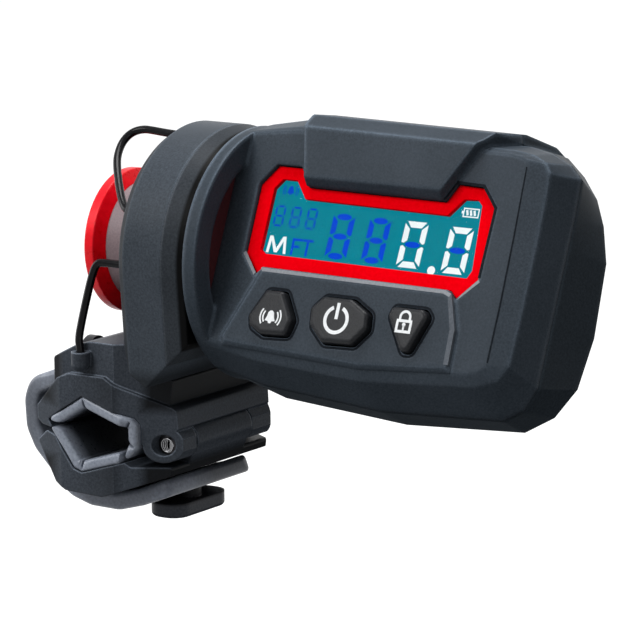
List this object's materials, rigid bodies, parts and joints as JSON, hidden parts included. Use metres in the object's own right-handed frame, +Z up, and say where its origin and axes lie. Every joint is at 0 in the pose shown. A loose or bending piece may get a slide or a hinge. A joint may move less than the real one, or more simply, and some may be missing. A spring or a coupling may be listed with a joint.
{
  "type": "fishing line counter",
  "caption": "Fishing line counter: a strapped rod clamp carries an arm with a measuring wheel and wire guides, and a tilting display head with push buttons.",
  "frame": {"origin": "centre of the rod's passage through the clamp, midway along the clamp", "axes": "+Y along the rod away from the angler, +X along the wheel's axis towards the display head, +Z up"},
  "size_m": [0.1144, 0.0466, 0.0772],
  "materials": {
    "shell_plastic": "fine moulded texture",
    "arm_plastic": "fine moulded texture",
    "clamp_plastic": "fine moulded texture",
    "red_plastic": "gloss",
    "red_bezel": "satin",
    "red_hub": "satin",
    "grey_rubber": "soft",
    "band_rubber": "soft",
    "black_rubber": "soft",
    "button_rubber": "satin",
    "black_wire": "gloss",
    "steel": "turned",
    "dark_steel": "blackened",
    "magnet_nickel": "plated",
    "lens_clear": "clear",
    "display_glass": "lit",
    "light_guide": "clear",
    "board_green": "lacquered",
    "buzzer_black": "moulded",
    "cell_sleeve": "printed sleeve",
    "contact_nickel": "plated",
    "lead_black": "soft",
    "spring_steel": "spring temper"
  },
  "bodies": {
    "clamp": {"clamp_body": "clamp_plastic", "upper_pad": "grey_rubber", "hinge_pin": "dark_steel", "arm_screws": "steel", "support_arm": "arm_plastic", "arm_cover": "arm_plastic", "cover_screws": "dark_steel", "sensor_board": "board_green", "sensor_lead": "lead_black", "wheel_axle": "steel", "axle_screw": "steel", "front_line_loop": "black_wire", "front_line_guide": "black_wire", "rear_line_guide": "black_wire", "strap": "grey_rubber"},
    "wheel": {"measuring_wheel": "red_plastic", "traction_band": "band_rubber", "wheel_bearings": "steel", "wheel_magnets": "magnet_nickel"},
    "head": {"pivot_hub": "red_hub", "pivot_bolt": "steel", "pivot_nut": "steel", "friction_washer": "spring_steel", "front_housing": "shell_plastic", "rear_housing": "shell_plastic", "housing_gasket": "black_rubber", "housing_screws": "dark_steel", "display_bezel": "red_bezel", "display_lens": "lens_clear", "lcd_panel": "display_glass", "display_backlight": "light_guide", "circuit_board": "board_green", "buzzer": "buzzer_black", "keypad_mat": "black_rubber", "battery_cells": "cell_sleeve", "battery_contacts": "contact_nickel", "battery_door_seal": "black_rubber", "battery_door": "shell_plastic", "battery_door_screw": "steel"},
    "jaw": {"lower_jaw": "clamp_plastic", "lower_pad": "grey_rubber", "strap_stud": "clamp_plastic"},
    "alarm_key": {"alarm_button": "button_rubber"},
    "power_key": {"power_button": "button_rubber"},
    "lock_key": {"lock_button": "button_rubber"}
  },
  "joints": [
    {"name": "wheel_spin", "type": "hinge", "parent": "clamp", "child": "wheel", "pos_m": [0, 0, 0.033], "axis": [1, 0, 0], "continuous": true},
    {"name": "head_tilt", "type": "hinge", "parent": "clamp", "child": "head", "pos_m": [0.0247, 0, 0.033], "axis": [-1, 0, 0], "range_deg": [-23, 67]},
    {"name": "jaw_open", "type": "hinge", "parent": "clamp", "child": "jaw", "pos_m": [0.0119, 0, -0.0014], "axis": [0, -1, 0], "range_deg": [0, 75], "stiffness_Nm_per_rad": 0.05, "springref_deg": -8.59, "deforming": ["strap"]},
    {"name": "alarm_press", "type": "slide", "parent": "head", "child": "alarm_key", "axis": [0, 0.9219, -0.3875], "range_m": [0, 0.0008], "stiffness_N_per_m": 400},
    {"name": "power_press", "type": "slide", "parent": "head", "child": "power_key", "axis": [0, 0.9219, -0.3875], "range_m": [0, 0.0008], "stiffness_N_per_m": 400},
    {"name": "lock_press", "type": "slide", "parent": "head", "child": "lock_key", "axis": [0, 0.9219, -0.3875], "range_m": [0, 0.0008], "stiffness_N_per_m": 400}
  ]
}
